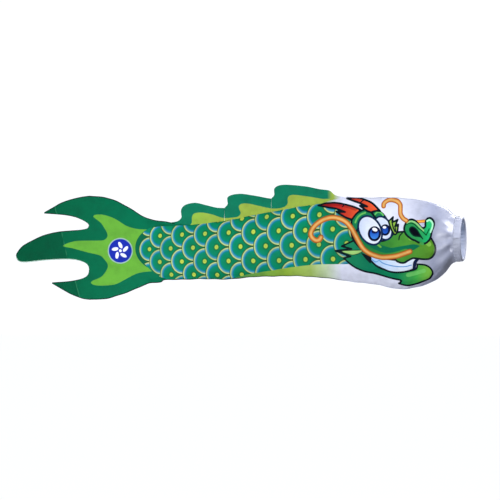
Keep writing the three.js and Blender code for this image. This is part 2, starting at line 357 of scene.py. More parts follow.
def cloth_sheet(name, across, along, place_of, materials, thick=cloth_thick, outward=1.0):
    """A grid of cloth laid by place_of(along, across): x, y, z and the place on the flat print."""
    bm = bmesh.new()
    bmesh.ops.create_grid(bm, x_segments=along, y_segments=across, size=0.5)
    co = np.array([v.co for v in bm.verts])
    x, y, z, print_x, print_z = place_of(co[:, 0] + 0.5, co[:, 1] + 0.5)
    for vertex, place in zip(bm.verts, np.stack([x, y, z], 1)):
        vertex.co = place
    bmesh.ops.dissolve_degenerate(bm, dist=1e-7, edges=bm.edges)
    kept = np.array([v.co for v in bm.verts])
    if len(kept) != len(x):
        raise ValueError(f"{name}: the grid folded on itself")
    for edge in bm.edges:
        edge.smooth = not edge.is_boundary
    facing = sum((f.normal.y * f.calc_area() for f in bm.faces), 0.0)
    if facing * outward < 0:
        bmesh.ops.reverse_faces(bm, faces=bm.faces)
    area = sum(f.calc_area() for f in bm.faces)
    piece = new_object(name, bm, *materials)
    places = piece.data.attributes.new("print_place", "FLOAT_VECTOR", "POINT")
    places.data.foreach_set("vector", np.stack([print_x, print_z, np.full_like(x, outward)], 1).ravel())
    piece.data.shade_smooth()
    skin = piece.modifiers.new("cloth", "SOLIDIFY")
    skin.thickness = thick
    skin.offset = -1
    skin.material_offset = len(materials) - 1
    piece["cut_area"] = area
    return piece, print_x / MM, print_z / MM


# ---- Drawing on the flat print ----
# Each is in mm, x along the fish and z up. A third figure of 1 marks a sharp corner.


def drawn_line(points, closed, steps=7):
    """A smooth line through the points, with sharp corners where a point asks for one."""
    spots = np.array([p[:2] for p in points], float)
    sharp = np.array([len(p) > 2 for p in points])
    count = len(spots)
    if closed:
        slopes = (np.roll(spots, -1, 0) - np.roll(spots, 1, 0)) / 2
    else:
        slopes = np.gradient(spots, axis=0)
    slopes[sharp] = 0
    line = []
    for i in range(count if closed else count - 1):
        j = (i + 1) % count
        reach = np.linalg.norm(spots[j] - spots[i])
        start, end = [s * min(1, reach / max(np.linalg.norm(s), 1e-9)) for s in (slopes[i], slopes[j])]
        for t in np.arange(steps) / steps:
            line.append(spots[i] * (2 * t**3 - 3 * t**2 + 1) + start * (t**3 - 2 * t**2 + t)
                        + spots[j] * (3 * t**2 - 2 * t**3) + end * (t**3 - t**2))
    if not closed:
        line.append(spots[-1])
    return np.array(line)


def oval(x, z, long, short, tilt=0.0, count=14):
    """An ellipse as an outline; tilt is in degrees from +x."""
    turn = math.radians(tilt)
    points = []
    for i in range(count):
        a = 2 * math.pi * i / count
        u, v = long * math.cos(a), short * math.sin(a)
        points.append((x + u * math.cos(turn) - v * math.sin(turn),
                       z + u * math.sin(turn) + v * math.cos(turn)))
    return points


def shapes(**outlines):
    """Named outlines that close on themselves."""
    return {name: (points, True) for name, points in outlines.items()}


def strokes(**lines):
    """Named lines with two ends."""
    return {name: (points, False) for name, points in lines.items()}


far_away = 40.0


def distance_to(line, x, z, closed):
    """Distance in mm from each point to a drawn line, less than nothing inside a closed one."""
    ends = np.roll(line, -1, 0) if closed else line[1:]
    starts = line if closed else line[:-1]
    low, high = line.min(0) - far_away, line.max(0) + far_away
    near = (x > low[0]) & (x < high[0]) & (z > low[1]) & (z < high[1])
    result = np.full_like(x, far_away)
    if not near.any():
        return result
    px, pz = x[near], z[near]
    best = np.full_like(px, far_away**2)
    inside = np.zeros(px.shape, bool)
    for (x0, z0), (x1, z1) in zip(starts, ends):
        run = (x1 - x0) ** 2 + (z1 - z0) ** 2
        t = np.clip(((px - x0) * (x1 - x0) + (pz - z0) * (z1 - z0)) / max(run, 1e-9), 0, 1)
        best = np.minimum(best, (px - x0 - t * (x1 - x0)) ** 2 + (pz - z0 - t * (z1 - z0)) ** 2)
        if closed:
            crosses = (z0 > pz) != (z1 > pz)
            at = x0 + (pz - z0) * (x1 - x0) / (z1 - z0 if z1 != z0 else 1e-9)
            inside ^= crosses & (px < at)
    distance = np.sqrt(best)
    result[near] = np.where(inside, -distance, distance)
    return result


def draw(piece, x, z, artwork):
    """Stores each drawing's distance on the cloth, for the material to ink in."""
    for name, (points, closed) in artwork.items():
        distance = distance_to(drawn_line(points, closed), x, z, closed)
        stored = piece.data.attributes.new(name, "FLOAT", "POINT")
        stored.data.foreach_set("value", distance.astype(np.float32))


# ---- Printed cloth ----
# The dyes are heat printed into white satin: flat colours, soft shades and dark outlines. The face
# and the scales are one print with the belly. Of all that, the inside shows only a faint green.
white_satin = (208, 212, 232)
line_ink = (6, 18, 28)
leaf_deep = (1, 88, 58)
leaf_lime = (98, 166, 58)
crest_lime = (144, 168, 68)
scale_shade = (6, 96, 66)

belly_art = shapes(belly=[(-652, -116, 1), (-630, -109, 1), (-594, -97), (-554, -88), (-510, -81),
                          (-467, -74), (-421, -70), (-378, -67), (-255, -66, 1), (-255, -140, 1),
                          (-652, -140, 1)])
crest_art = shapes(crest=[(-408, 88, 1), (-386, 93), (-353, 95), (-300, 88, 1), (-266, 40, 1),
                          (-250, 40, 1), (-250, 140, 1), (-408, 140, 1)])
star_art = shapes(star=[(-996, 60), (-991, 65), (-975, 66), (-956, 62), (-934, 53), (-904, 35),
                        (-874, 27), (-842, 26, 1), (-797, 0, 1), (-797, -60, 1), (-829, -84, 1),
                        (-874, -91), (-904, -105), (-934, -120), (-964, -124), (-993, -123),
                        (-1003, -117), (-998, -111), (-975, -101), (-961, -85), (-956, -70), (-964, -56),
                        (-977, -44), (-1013, -35), (-1055, -24), (-1080, -19), (-1070, -12), (-1045, -5),
                        (-1013, -4), (-969, -3), (-958, 5), (-958, 16), (-975, 43)])

face_art = {**shapes(
    jaw=[(-284, -4, 1), (-317, -19, 1), (-290, -26, 1), (-334, -31, 1), (-293, -46, 1), (-312, -50, 1),
         (-303, -59), (-286, -73), (-260, -85), (-226, -92), (-188, -103), (-159, -109), (-167, -117, 1),
         (-151, -122), (-130, -121), (-102, -112), (-83, -103), (-74, -90), (-79, -77), (-93, -69),
         (-113, -67, 1), (-117, -79), (-140, -85), (-169, -87), (-197, -83), (-224, -72), (-243, -53, 1),
         (-240, -20), (-262, 0)],
    spike=[(-326, -31, 1), (-292, -30), (-256, -29, 1), (-270, -38), (-288, -42), (-304, -38)],
    mouth_corner=[(-266, -36, 1), (-246, -44), (-236, -50, 1), (-240, -66, 1), (-252, -54)],
    teeth=[(-246, -49, 1), (-227, -69), (-205, -80), (-184, -87), (-162, -88), (-140, -85), (-124, -79),
           (-117, -64), (-113, -48, 1), (-138, -46), (-162, -46), (-189, -44), (-221, -40, 1)],
    snout=[(-288, 30, 1), (-270, 22), (-238, -3), (-205, -5), (-186, 3), (-175, 15), (-159, 19),
           (-119, 19), (-81, 8), (-70, -5), (-63, -21), (-64, -35), (-72, -47), (-83, -53), (-102, -53),
           (-116, -51, 1), (-125, -51), (-136, -56), (-150, -63), (-165, -60), (-171, -55, 1),
           (-194, -53), (-227, -49), (-254, -35), (-281, -8), (-290, 12)],
    muzzle=[(-257, -4, 1), (-233, -8), (-209, -16), (-183, -23), (-167, -21), (-144, -17), (-122, -14),
            (-104, -18, 1), (-120, -28), (-128, -30), (-144, -26), (-167, -33), (-198, -37), (-227, -28),
            (-250, -14)],
    far_brow=[(-238, 69, 1), (-225, 76), (-210, 69), (-200, 58), (-191, 45, 1), (-203, 48), (-217, 52),
              (-227, 50, 1)],
    far_eye=oval(-205, 29, 33, 22, -62),
    far_iris=oval(-199, 24, 12.5, 11, 90),
    far_glint=oval(-201, 31, 5, 3.5),
    near_brow=[(-291, 52, 1), (-284, 64), (-272, 72), (-257, 78), (-243, 74), (-226, 56, 1), (-243, 52),
               (-256, 44), (-270, 32), (-280, 14, 1), (-290, 34)],
    near_eye=oval(-240, 23, 41, 29, -58),
    near_iris=oval(-228, 14, 17, 15, 90),
    near_pupil=oval(-227, 20, 9, 5.5),
    near_glint=oval(-227, 25, 7.5, 4.5, -20),
    tuft=[(-191, 47, 1), (-179, 59, 1), (-181, 44, 1), (-166, 52, 1), (-173, 33, 1), (-164, 39, 1),
          (-166, 18, 1), (-173, 12), (-182, 24)],
    far_horn=[(-308, 108, 1), (-289, 110), (-269, 107), (-250, 101), (-234, 92), (-215, 74, 1),
              (-227, 75), (-239, 71, 1), (-251, 75), (-271, 88, 1), (-251, 86, 1), (-269, 94),
              (-286, 100)],
    near_horn=[(-385, 89, 1), (-364, 95), (-336, 96), (-312, 92), (-286, 85), (-267, 77, 1), (-280, 66),
               (-290, 52, 1), (-308, 58), (-334, 73, 1), (-310, 72, 1), (-336, 81), (-360, 84)],
    nose=[(-148, 30), (-145, 40), (-139, 48), (-131, 52), (-122, 50), (-114, 44), (-108, 37), (-101, 30),
          (-95, 29, 1), (-91, 33), (-91, 42), (-89, 50), (-84, 54), (-77, 54), (-71, 49), (-67, 41),
          (-68, 32), (-72, 21), (-74, 12), (-76, 4), (-80, -3), (-86, -9), (-93, -12), (-99, -12),
          (-105, -10), (-111, -8), (-118, -4), (-126, -1), (-135, 5), (-143, 13), (-147, 21)],
    nose_hole=[(-134, 24), (-131, 31), (-124, 32), (-116, 27), (-110, 20), (-103, 9), (-97, 0, 1),
               (-102, 5), (-111, 7), (-120, 8), (-128, 14)]), **strokes(
    jaw_light=[(-140, -95), (-118, -90), (-96, -84)],
    muzzle_light=[(-130, 2), (-112, 4), (-94, -2), (-80, -14)],
    near_brow_light=[(-281, 44), (-276, 56), (-267, 65), (-255, 70)],
    far_brow_light=[(-231, 62), (-223, 71), (-213, 70), (-206, 63)],
    far_horn_nick=[(-262, 104), (-270, 97)],
    nostril_glint=[(-87, 47), (-80, 49.5), (-74, 45), (-71, 38), (-72, 29), (-76, 18)],
    gum=[(-235, -55), (-226, -61), (-216, -57), (-208, -63), (-194, -68), (-173, -72), (-148, -73),
         (-129, -69)],
    lip=[(-112, -53), (-120, -63), (-122, -76)],
    cheek=[(-70, -8), (-66, -20), (-68, -34), (-76, -45)],
    wrinkle=[(-162, -2), (-160, 8), (-152, 17)],
    lid=[(-254, -1), (-238, -5), (-224, -11), (-211, -21)],
    tuft_fold=[(-181, 44), (-178, 32), (-172, 19)],
    tuft_crease=[(-173, 34), (-171, 24), (-168, 15)],
    horn_shade=[(-378, 90), (-340, 93), (-310, 89), (-282, 80)],
    horn_nick=[(-312, 93), (-318, 86)],
    nose_root=[(-103, -11), (-97, -13)],
    nose_ridge=[(-142, 38), (-135, 42), (-128, 42), (-119, 38), (-110, 29), (-100, 22), (-88, 10, 1),
                (-84, 18), (-80, 27)],
    nose_shine=[(-140, 43), (-131, 47), (-122, 45), (-113, 39), (-104, 30), (-96, 22)],
    far_whisker=[(-207, 88), (-207, 95), (-199, 103), (-186, 105), (-172, 101), (-163, 92), (-161, 78),
                 (-159, 65), (-151, 54), (-143, 49)],
    whisker_end=[(-115, 46), (-90, 47)],
    near_whisker=[(-373, 5), (-378, -2), (-388, -3), (-398, 5), (-401, 15), (-396, 28), (-385, 40),
                  (-368, 51), (-347, 57), (-327, 55), (-307, 46), (-292, 30), (-281, 12), (-270, -8),
                  (-257, -27), (-238, -40), (-212, -48), (-194, -48), (-169, -45), (-149, -39),
                  (-132, -33)])}


class Print:
    """A cloth material, whose colour is inked layer by layer over the places of the flat print."""
    soft_edge = 0.5

    def __init__(self, name, ground=white_satin):
        self.material, self.shader, self.tint = new_material(name)
        self.place = self.tint.node("Attribute", {"attribute_name": "print_place"}, out=1)
        self.x = self.tint.node("SeparateXYZ", {}, {0: self.place}, out=0)
        self.z = self.tint.node("SeparateXYZ", {}, {0: self.place}, out=1)
        self.colour = ground

    def distance(self, name):
        return self.tint.node("Attribute", {"attribute_name": name}, out=2)

    def within(self, distance, reach=0.0):
        """1 where the distance is under reach, with a slightly soft edge."""
        return (0.5 + (reach - distance) / self.soft_edge).held()

    def lay(self, share, colour):
        self.colour = share.mix(self.colour, colour)

    def shape(self, name, fill, line=0.0, ink=line_ink):
        distance = self.distance(name)
        if line:
            self.lay(self.within(distance, line / 2), ink)
            self.lay(self.within(distance, -line / 2), fill)
        else:
            self.lay(self.within(distance), fill)
        return distance

    def stroke(self, name, width, ink, share=1.0):
        self.lay(self.within(self.distance(name), width / 2) * share, ink)

    def fade(self, low, high, value=None):
        """0 to 1 as x goes from low to high, in metres."""
        return (((value or self.x) - low) / (high - low)).held()


def scale_colour(page):
    """Fish scales: discs in half-stepped columns, each lying over the one behind it. They grow towards
    the head, so the columns are counted with a logarithm."""
    root_period, period_growth = 0.0582, 0.0355
    root_spacing, spacing_growth = 0.0665, 0.0275
    shortening = 1.12
    x = page.x - 0.0014 - 0.0245 * (page.x + 0.807).held()
    z = page.z - 0.018 * (x + 0.63)
    period = root_period + period_growth * (x + 0.804)
    spacing = root_spacing + spacing_growth * (x + 0.818)
    column = (page.tint.maths("LOGARITHM", period / root_period, math.e) / period_growth + 0.17) * 2
    row = (z + 0.0474) / spacing
    squash = shortening * period / spacing
    top = page.tint.maths("FLOOR", column + spacing / period / shortening)

    def disc(index):
        odd = page.tint.maths("FLOORED_MODULO", index, 2.0)
        level = row + 0.13 - odd * 0.5
        step = page.tint.maths("ROUND", level)
        across = (index - column) * squash
        up = (level - step) * 2
        return page.tint.maths("SQRT", across * across + up * up), step

    first, second, third = disc(top), disc(top - 1), disc(top - 2)
    not_first = first[0] > 1.0
    not_second = not_first * (second[0] > 1.0)
    radius = first[0] + not_first * (second[0] - first[0]) + not_second * (third[0] - second[0])
    step = first[1] + not_first * (second[1] - first[1]) + not_second * (third[1] - second[1])
    index = top - not_first - not_second
    dot = [(0.0, (176, 172, 56)), (0.06, (178, 188, 66)), (0.1, (178, 206, 84)), (0.145, (166, 196, 78)),
           (0.175, (26, 96, 44))]
    tail_side = radius.ramp(
        *dot, (0.3, (6, 126, 84)), (0.6, (6, 130, 100)), (0.68, (8, 124, 132)), (0.72, (26, 122, 164)),
        (0.79, (74, 150, 180)), (0.84, (104, 152, 166)), (0.858, (150, 182, 130)),
        (0.895, (192, 214, 146)), (0.935, (174, 194, 116)), (0.952, (84, 78, 40)),
        (0.975, (30, 60, 26)), (1.0, (20, 78, 44)))
    head_side = radius.ramp(*dot, (0.3, (6, 124, 82)), (0.8, (6, 108, 74)), (1.0, (18, 80, 40)))
    colour = ((column - index) * 3).held().mix(tail_side, head_side)
    chance = page.tint.node("TexWhiteNoise", {"noise_dimensions": "2D"},
                            {"Vector": page.tint.node("CombineXYZ", {}, {0: index, 1: step})})
    colour = (chance * 0.22).mix(colour, (6, 104, 74))
    behind = (index < -1.5) + (radius > 1.0)
    return behind.held().mix(colour, scale_shade)


def woven(page, gloss=None):
    """Finishes a print as satin: long floats of thread over a fine ground, with slubs and mottling."""
    tint = page.tint
    slubs = tint.node("TexNoise", {}, {"Vector": tint.node("Mapping", {}, {
        "Vector": page.place, "Scale": (60, 900, 1)}), "Scale": 1.0, "Detail": 3})
    weave = tint.node("TexWave", {"wave_type": "BANDS", "bands_direction": "DIAGONAL"},
                      {"Vector": page.place, "Scale": 420, "Distortion": 2.0, "Detail": 1})
    mottle = tint.node("TexNoise", {}, {"Vector": page.place, "Scale": 34, "Detail": 5})
    shade = ((mottle - 0.5) * 0.6 + (slubs - 0.5) * 0.16 + 0.04).held()
    colour = shade.mix(page.colour, (14, 34, 34))
    if gloss:
        tint.tree.links.new(gloss.socket, page.shader.inputs["Coat Weight"])
    crumple = tint.node("TexNoise", {}, {"Vector": page.place, "Scale": 13, "Detail": 2.5,
                                         "Distortion": 0.8})
    finish(page.shader, colour, bump=crumple + (weave * 0.4 + slubs * 0.6) * 0.008, bump_strength=0.6,
           bump_distance=0.012, Roughness=0.58, Specular_IOR_Level=0.03, Coat_Roughness=0.42,
           Coat_IOR=2.1)
    return page.material


def ink_face(page):
    """The animal's face, from the back layers to the front ones."""
    page.shape("jaw", page.fade(-0.33, -0.08).ramp(
        (0.0, (30, 128, 84)), (0.35, (8, 112, 82)), (0.65, (14, 126, 82)),
        (0.85, (64, 168, 72)), (1.0, (124, 190, 70))), 4.8)
    page.shape("spike", (150, 196, 112), 1.8)
    page.stroke("jaw_light", 10, (120, 205, 110), 0.6)
    page.shape("teeth", page.fade(-0.235, -0.16).mix((160, 196, 236), (214, 226, 244)), 5)
    page.stroke("gum", 3, (92, 150, 210))
    page.shape("mouth_corner", line_ink)
    page.stroke("lip", 8.5, (14, 26, 62))
    snout = page.shape("snout", page.fade(-0.26, -0.07).ramp(
        (0.0, (20, 112, 58)), (0.3, (48, 126, 50)), (0.6, (70, 140, 50)),
        (1.0, (80, 134, 38))), 5.2)
    inside = page.within(snout, -2.8)
    page.stroke("muzzle_light", 12, (136, 190, 84), inside * 0.55)
    page.stroke("cheek", 8, (70, 124, 30), inside * 0.6)
    page.lay(inside * page.within(page.distance("muzzle") / 3), (6, 104, 70))
    page.stroke("lid", 5.2, (112, 176, 58), 0.8)
    page.stroke("wrinkle", 3.4, line_ink)
    page.shape("far_brow", (20, 108, 70), 5.2)
    page.stroke("far_brow_light", 4, (88, 178, 92))
    page.shape("far_eye", (200, 212, 236), 5, (10, 34, 70))
    iris = page.fade(0.0, 0.036, page.z).ramp(
        (0.0, (60, 130, 220)), (0.45, (30, 84, 190)), (1.0, (14, 34, 110)))
    page.shape("far_iris", iris, 5.5, (6, 12, 46))
    page.shape("far_glint", (236, 240, 252))
    page.shape("near_brow", (20, 112, 70), 5.4)
    page.stroke("near_brow_light", 4.5, (92, 172, 84))
    page.shape("near_eye", page.fade(-0.275, -0.235).mix((184, 198, 228), (214, 222, 240)),
               5.4, (10, 34, 70))
    page.shape("near_iris", iris, 6, (6, 12, 46))
    page.shape("near_pupil", (10, 16, 66))
    page.shape("near_glint", (236, 240, 252))
    page.shape("tuft", (128, 170, 64), 4.6)
    page.stroke("tuft_fold", 3.6, line_ink)
    page.stroke("tuft_crease", 3, line_ink)
    horn = page.fade(-0.37, -0.27).ramp((0.0, (150, 24, 28)), (0.5, (182, 42, 34)),
                                        (1.0, (214, 84, 46)))
    page.shape("far_horn", page.fade(-0.31, -0.22).mix((160, 34, 34), (224, 88, 48)), 5.4)
    near_horn = page.shape("near_horn", horn, 5.2)
    page.stroke("horn_shade", 10, (118, 18, 26), page.within(near_horn, -2.6) * 0.5)
    page.stroke("horn_nick", 3.4, line_ink)
    page.stroke("far_horn_nick", 3.4, line_ink)
    page.stroke("whisker_end", 8, (150, 84, 36))
    page.stroke("whisker_end", 4.6, (236, 160, 62))
    page.shape("nose", page.fade(-0.14, -0.075).ramp(
        (0.0, (30, 130, 72)), (0.45, (44, 140, 76)), (0.8, (28, 168, 98)),
        (1.0, (40, 184, 112))), 5.4)
    page.stroke("nose_root", 6.8, (60, 146, 70))
    page.stroke("nose_shine", 4.4, (142, 200, 126), 0.8)
    page.stroke("nostril_glint", 4.8, (176, 244, 204), 0.85)
    page.stroke("nose_ridge", 3, (2, 74, 36))
    page.shape("nose_hole", (4, 6, 18), 3, (2, 44, 34))
    for name, width in [("far_whisker", 12.5), ("near_whisker", 14.5)]:
        off = page.distance(name)
        page.lay(page.within(off, width / 2), (136, 70, 30))
        page.lay(page.within(off, width / 2 - 1.2), (off / (width / 2)).ramp(
            (0.0, (214, 172, 112)), (0.28, (208, 154, 82)), (0.56, (192, 116, 48)),
            (0.78, (160, 84, 34)), (0.95, (128, 62, 28))))


def body_ground(page, with_face):
    """Scales from tail root to cheek, a pale belly and crest, and white satin ahead of the cheek, with
    painted shade near the mouth.
    """
    page.colour = scale_colour(page)
    page.shape("belly", page.fade(-0.62, -0.32).ramp(
        (0.0, (66, 138, 80)), (0.25, (106, 156, 66)), (0.5, (136, 170, 60)),
        (0.72, (156, 184, 96)), (0.86, (184, 204, 166)), (1.0, white_satin)))
    if with_face:
        page.shape("crest", page.fade(-0.375, -0.335).mix(crest_lime, white_satin))
        # Painted shade: the white satin darkens towards the mouth, where the slack cloth lies in shade.
        satin = page.fade(-0.16, -0.075).mix(white_satin, (152, 158, 184))
        page.lay(page.fade(-0.2625, -0.2615), satin)
        ink_face(page)


page = Print("face_cloth")
body_ground(page, True)
face_cloth = woven(page, page.fade(-0.07, -0.045) * 0.9)

page = Print("scale_cloth")
body_ground(page, False)
scale_cloth = woven(page)

# The hem is of the same white satin; its darker colour is a painted shade for the fold round the mouth.
page = Print("shaded_hem_satin", (166, 171, 192))
shaded_hem_satin = woven(page, page.fade(-0.3, -0.1) * 0.25)

page = Print("reverse_cloth")
page.lay(page.fade(-0.30, -0.42), (96, 158, 128))
reverse_cloth = woven(page)
# The inside glows faintly, a painted light standing in for the daylight that comes through the thin cloth,
# so the inside of the tube is never dark.
page.shader.inputs["Emission Color"].default_value = linear((178, 196, 196))
page.shader.inputs["Emission Strength"].default_value = 0.5

root_art = shapes(
    root_disc=oval(-803, -24, 78, 62),
    scale_bed=[(-600, 38, 1), (-733, 36, 1), (-842, 30, 1), (-857, 19), (-868, 1), (-872, -22),
               (-868, -43), (-857, -62), (-840, -81), (-820, -93), (-800, -104, 1), (-770, -150, 1),
               (-600, -150, 1)])


def ink_tail(page, with_scales):
    """Deep green tail, a little paler towards the body, with a lime star of three points."""
    page.colour = page.fade(-1.15, -0.86).mix(leaf_deep, (4, 106, 74))
    page.shape("star", leaf_lime)
    if with_scales:
        page.shape("root_disc", scale_shade)
        page.shape("scale_bed", scale_colour(page))


page = Print("rump_cloth")
ink_tail(page, True)
rump_cloth = woven(page)

# ---- Tail roundel ----
# A plain blue disc printed on the root of the tail, inside the lime star, with a pale rim and a
# white flower of five petals. It is part of the same heat print, not a patch.
roundel_x, roundel_z, roundel_r = -922, -31, 33
roundel_art = shapes(roundel=oval(roundel_x, roundel_z, roundel_r, roundel_r, 0, 20))
petal_count = 5
petal_out = 15
petal_twist = 28
for i in range(petal_count):
    lean = 360 * i / petal_count + 90
    out = math.radians(lean)
    petal = oval(roundel_x + petal_out * math.cos(out), roundel_z + petal_out * math.sin(out), 9.5, 4.6,
                 lean + petal_twist, 10)
    roundel_art.update(shapes(**{f"petal_{i}": petal}))
roundel_art.update(shapes(flower_eye=oval(roundel_x, roundel_z, 4, 4, 0, 10)))

page = Print("tail_cloth")
ink_tail(page, True)
page.shape("roundel", (24, 44, 164), 3, (150, 180, 170))
for name in roundel_art:
    if name != "roundel":
        page.shape(name, (225, 232, 248))
tail_cloth = woven(page)

# ---- Side panels ----
# Right and left panels, one length of cloth each, sewn together along the back and the belly. Each
# is laid out as five pieces that meet edge to edge.
layer_gap = 0.3 * MM
# It is an estimate, not a measured width.
face_end, shoulder_end, flank_end, rump_end = -0.412, -0.576, -0.726, -0.868
panels = {
    "face": dict(front=hem_rear_x, rear=face_end, columns=200, rows=140, bend=("head", "forebody", neck_x),
                 cloth=face_cloth, art={**face_art, **belly_art, **crest_art}, slot="head_print",
                 nodes=["head", "fore"]),
    "shoulder": dict(front=face_end, rear=shoulder_end, columns=44, rows=60,
                     bend=("forebody", "midbody", fore_x), cloth=scale_cloth, art=belly_art,
                     slot="scale_print", nodes=["mid"]),
    "flank": dict(front=shoulder_end, rear=flank_end, columns=40, rows=60,
                  bend=("midbody", "hindbody", mid_x), cloth=scale_cloth, art=belly_art,
                  slot="scale_print", nodes=["hind"]),
    "rump": dict(front=flank_end, rear=rump_end, columns=56, rows=90, bend=("hindbody", "tail", root_x),
                 cloth=rump_cloth, art={**star_art, **root_art}, slot="scale_print", nodes=[]),
    "tail": dict(front=rump_end, rear=fork_x, columns=70, rows=130, bend=("tail", None, None),
                 cloth=tail_cloth, art={**star_art, **root_art, **roundel_art}, slot="tail_print",
                 nodes=["tail"]),
}


def follow(piece, bend):
    """A piece rides on one body, or, if it lies across a joint, stays where it is laid, its transform baked
    in.
    """
    body, next_body, x = bend
    if next_body is None:
        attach(piece, body)
    else:
        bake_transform(piece)


def panel_places(front_x, rear_x, side):
    """How a panel's grid is laid on its half of the blown-up tube."""
    def place_of(along, across):
        x = front_x + (rear_x - front_x) * along
        turn = (across - 0.5) * math.pi
        back, belly, half, pinch = section_at(x)
        centre, depth = (back - belly) / 2, (back + belly) / 2
        bulge = np.maximum(np.cos(turn), 0) ** pinch
        z = centre + depth * np.sin(turn) + seam_wander(x) * np.sin(turn) ** 8
        z -= belly_tuck(x) * np.maximum(-np.sin(turn), 0) ** 8
        slant = np.hypot(depth * np.cos(turn), half * np.sin(turn)) + 1e-9
        out_y, out_z = depth * np.cos(turn) / slant, half * np.sin(turn) / slant
        folds = cloth_folds(x, z, turn, side)
        y = layer_gap + half * bulge + out_y * folds
        eased = centre + depth * (0.85 * np.sin(turn) + 0.15 * (2 * turn / math.pi))
        ease = rise(-x, 0.4, 0.5) * (1 - rise(-x, 0.8, 0.86))
        return x, side * y + ripple(x, z), z + out_z * folds, x, z + (eased - z) * ease
    return place_of


for side, hand in [(-1, "right"), (1, "left")]:
    for name, cut in panels.items():
        panel, x, z = cloth_sheet(f"{name}_panel_{hand}", cut["rows"], cut["columns"],
                                  panel_places(cut["front"], cut["rear"], side),
                                  [cut["cloth"], reverse_cloth], outward=side)
        draw(panel, x, z, cut["art"])
        follow(panel, cut["bend"])
        if cut["nodes"]:
            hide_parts(*[f"{node}_{hand}" for node in cut["nodes"]])

# ---- Tail prongs ----
# Three prongs past the fork, each of a right and a left layer hemmed together round the edge. They
# are printed with the tips of the lime star. Edges run from the fork to the tip, in mm.
prong_edges = {
    "upper": ([(-1008, 115), (-1030, 112), (-1060, 105), (-1086, 96), (-1108, 84), (-1132, 71)],
              [(-1008, 37, 1), (-1009, 41), (-1015, 46), (-1030, 54), (-1050, 61), (-1079, 66),
               (-1132, 70)]),
    "middle": ([(-1008, 35, 1), (-1009, 31), (-1015, 27), (-1032, 24), (-1060, 22), (-1094, 19),
                (-1133, 10), (-1164, -4), (-1190, -19), (-1204, -36), (-1207, -44)],
               [(-1008, -79, 1), (-1009, -73), (-1015, -65), (-1030, -58), (-1050, -54), (-1079, -53),
                (-1133, -56), (-1170, -60), (-1190, -61), (-1202, -57), (-1207, -46)]),
    "lower": ([(-1008, -82, 1), (-1009, -91), (-1014, -99), (-1024, -105), (-1042, -110), (-1068, -114),
               (-1110, -117)],
              [(-1008, -161), (-1024, -159), (-1040, -154), (-1060, -146), (-1082, -134), (-1110, -118)]),
}
# Creases left by the packaging. The cloth past each of them is painted darker, a painted shade for cloth
# that lies turned from the light, and a pale painted highlight runs along each crease.
prong_creases = {"upper": [(-1104, 92), (-1096, 62)], "middle": [(-1085, 24), (-1067, -57)],
                 "lower": [(-1049, -104), (-1034, -158)]}
crease_art = shapes(turned=[(-1300, 110, 1), (-1104, 92, 1), (-1096, 50, 1), (-1085, 24, 1),
                            (-1067, -57, 1), (-1049, -104, 1), (-1034, -160, 1), (-1300, -160, 1)])
crease_art.update(strokes(**{f"{name}_crease": line for name, line in prong_creases.items()}))

page = Print("prong_cloth")
ink_tail(page, False)
# Painted shade on the cloth past the creases, then a pale painted highlight along each crease.
page.lay(page.within(page.distance("turned")) * 0.3, (0, 52, 34))
for name in prong_creases:
    page.stroke(f"{name}_crease", 1.8, (70, 150, 110), 0.4)
prong_cloth = woven(page)


def edge_curve(points):
    """A smooth edge as a function of 0 to 1, even along its length."""
    line = drawn_line(points, False, 12) * MM
    run = np.concatenate([[0], np.cumsum(np.linalg.norm(np.diff(line, axis=0), axis=1))])
    return lambda t: (np.interp(t * run[-1], run, line[:, 0]), np.interp(t * run[-1], run, line[:, 1]))


def fork_y(z):
    """How far each layer stands from the middle at the fork, where the tube has come flat."""
    back, belly, half, pinch = section_at(fork_x)
    turn = (z - (back - belly) / 2) / ((back + belly) / 2)
    return layer_gap + half * np.sqrt(np.clip(1 - turn**2, 0, 1)) ** pinch


def prong_places(top, bottom, side, crease):
    top, bottom = edge_curve(top), edge_curve(bottom)

    def place_of(along, across):
        (top_x, top_z), (low_x, low_z) = top(along), bottom(along)
        x = low_x + (top_x - low_x) * across
        z = low_z + (top_z - low_z) * across
        at_fork = 1 - rise(fork_x - x, 0, 0.05)
        edge = 0.35 * MM + 1.1 * MM * np.sin(np.pi * across) ** 0.5
        y = fork_y(z) * at_fork + edge * (1 - at_fork)
        fold = np.exp(-(distance_to(np.array(crease, float), x / MM, z / MM, False) / 2.5) ** 1.3)
        return x, side * y + ripple(x, z) - 0.9 * MM * fold * (1 - at_fork), z, x, z
    return place_of


def follow_prong(piece):
    """A piece stays where it is laid, its transform baked in."""
    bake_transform(piece)


for name, (top, bottom) in prong_edges.items():
    for side, hand in [(-1, "right"), (1, "left")]:
        layer, x, z = cloth_sheet(f"{name}_prong_layer_{hand}", 56, 90,
                                  prong_places(top, bottom, side, prong_creases[name]),
                                  [prong_cloth, reverse_cloth], outward=side)
        draw(layer, x, z, {**star_art, **crease_art})
        follow_prong(layer)
        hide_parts(f"{name}_prong_{hand}")
